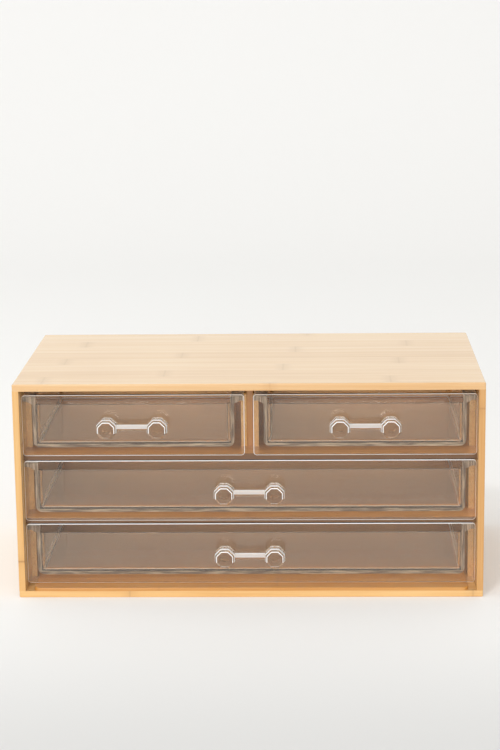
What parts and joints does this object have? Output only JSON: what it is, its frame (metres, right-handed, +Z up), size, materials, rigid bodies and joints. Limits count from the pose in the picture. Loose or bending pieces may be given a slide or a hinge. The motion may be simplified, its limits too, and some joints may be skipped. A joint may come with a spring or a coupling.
{
  "type": "drawer organizer",
  "caption": "Bamboo desk organizer for makeup and jewellery: a flat boarded casing with rows of clear pull-out drawers, each with a dumbbell-shaped clear handle.",
  "frame": {"origin": "centre of the object's bounding box in X and Y, on the table plane it stands on", "axes": "+X to the right along the longest side, +Z up, drawer fronts and handles facing -Y, drawers pull out along -Y"},
  "size_m": [0.318, 0.178, 0.15],
  "materials": {
    "bamboo": "pale laminated bamboo, thin satin varnish",
    "clear_tray": "clear moulded acrylic, smooth",
    "clear_front": "clear acrylic plate, polished faces, satin edges",
    "clear_handle": "clear acrylic, polished facets"
  },
  "bodies": {
    "casing": {"top_panel": "bamboo", "bottom_panel": "bamboo", "base_liner": "bamboo", "left_side_panel": "bamboo", "right_side_panel": "bamboo", "back_panel": "bamboo", "lower_shelf": "bamboo", "upper_shelf": "bamboo", "centre_divider": "bamboo", "divider_runner_left": "bamboo", "divider_runner_right": "bamboo", "runner_bottom_left": "bamboo", "runner_bottom_right": "bamboo", "runner_middle_left": "bamboo", "runner_middle_right": "bamboo", "runner_top_left": "bamboo", "runner_top_right": "bamboo"},
    "top_left_drawer": {"top_left_tray": "clear_tray", "top_left_front": "clear_front", "top_left_handle": "clear_handle"},
    "top_right_drawer": {"top_right_tray": "clear_tray", "top_right_front": "clear_front", "top_right_handle": "clear_handle"},
    "middle_drawer": {"middle_tray": "clear_tray", "middle_front": "clear_front", "middle_handle": "clear_handle"},
    "bottom_drawer": {"bottom_tray": "clear_tray", "bottom_front": "clear_front", "bottom_handle": "clear_handle"}
  },
  "joints": [
    {"name": "top_left_slide", "type": "slide", "parent": "casing", "child": "top_left_drawer", "axis": [0, -1, 0], "range_m": [0, 0.1]},
    {"name": "top_right_slide", "type": "slide", "parent": "casing", "child": "top_right_drawer", "axis": [0, -1, 0], "range_m": [0, 0.1]},
    {"name": "middle_slide", "type": "slide", "parent": "casing", "child": "middle_drawer", "axis": [0, -1, 0], "range_m": [0, 0.1]},
    {"name": "bottom_slide", "type": "slide", "parent": "casing", "child": "bottom_drawer", "axis": [0, -1, 0], "range_m": [0, 0.1]}
  ]
}
